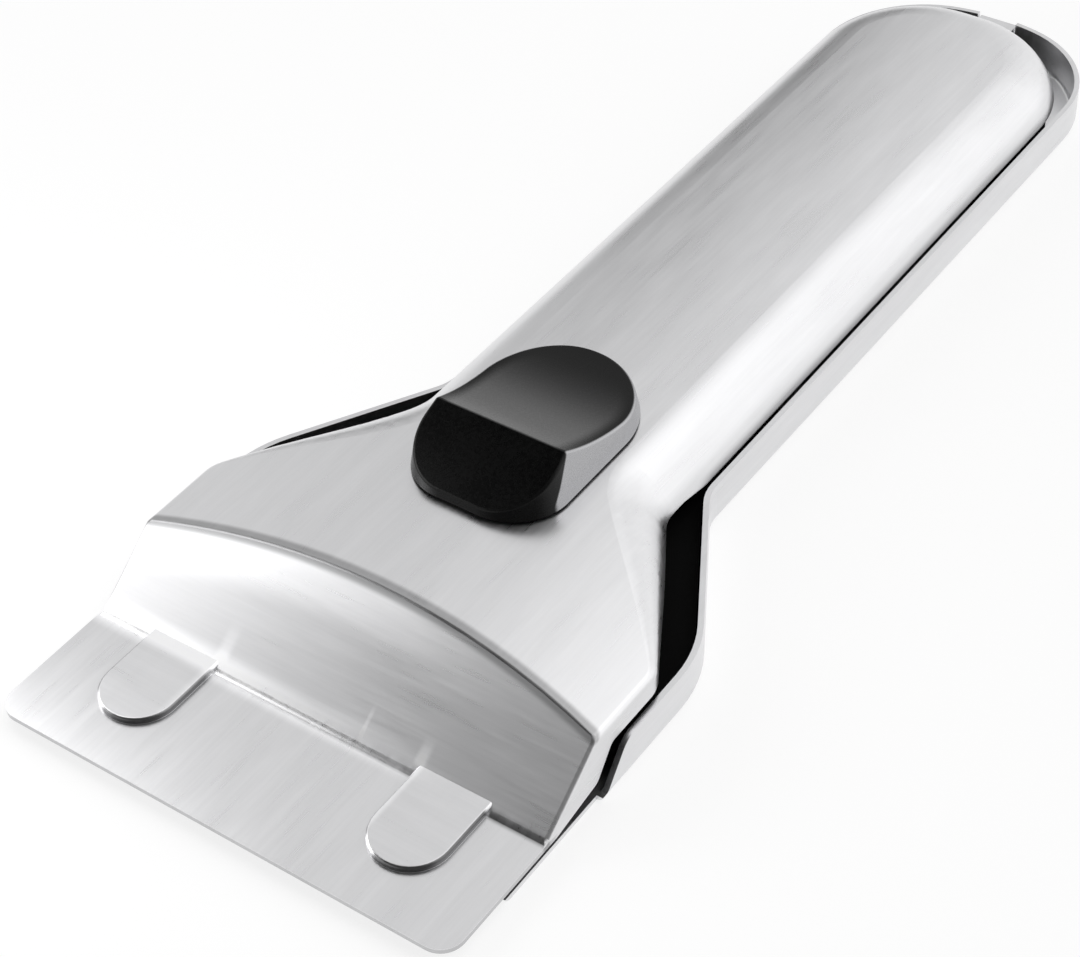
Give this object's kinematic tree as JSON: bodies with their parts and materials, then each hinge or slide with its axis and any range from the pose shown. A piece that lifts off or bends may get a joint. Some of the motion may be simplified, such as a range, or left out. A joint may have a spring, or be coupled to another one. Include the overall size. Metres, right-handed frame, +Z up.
{
  "type": "hob scraper",
  "caption": "Hand scraper for flat hobs: a two-shell steel handle with flat front lips and a thumb slider that pushes a thin blade out between the lips.",
  "frame": {"origin": "middle of the whole length and width, on the plane of the tray's underside", "axes": "+X across the scraper, +Y from the front lips towards the end of the handle, +Z up through the thumb slider"},
  "size_m": [0.0562, 0.1546, 0.0158],
  "materials": {
    "satin_steel": "satin, brushed lengthways",
    "plain_steel": "plain machined",
    "spring_steel": "bright rolled",
    "blade_steel": "ground",
    "black_plastic": "matt moulded",
    "grip_plastic": "fine moulded grain"
  },
  "bodies": {
    "handle": {"upper_shell": "satin_steel", "lower_shell": "satin_steel", "rear_tongue": "satin_steel", "lid_bushes": "plain_steel", "shell_screws": "plain_steel", "guide_frame": "black_plastic", "handle_spacer": "black_plastic"},
    "blade_slider": {"thumb_button": "grip_plastic", "carriage": "black_plastic", "button_screw": "plain_steel", "detent_spring": "spring_steel", "spring_pins": "plain_steel", "blade_holder": "plain_steel", "holder_rivets": "plain_steel", "blade_studs": "plain_steel", "blade": "blade_steel"}
  },
  "joints": [
    {"name": "blade_slide", "type": "slide", "parent": "handle", "child": "blade_slider", "axis": [0, -1, 0], "range_m": [0, 0.0065], "deforming": ["detent_spring"]}
  ]
}
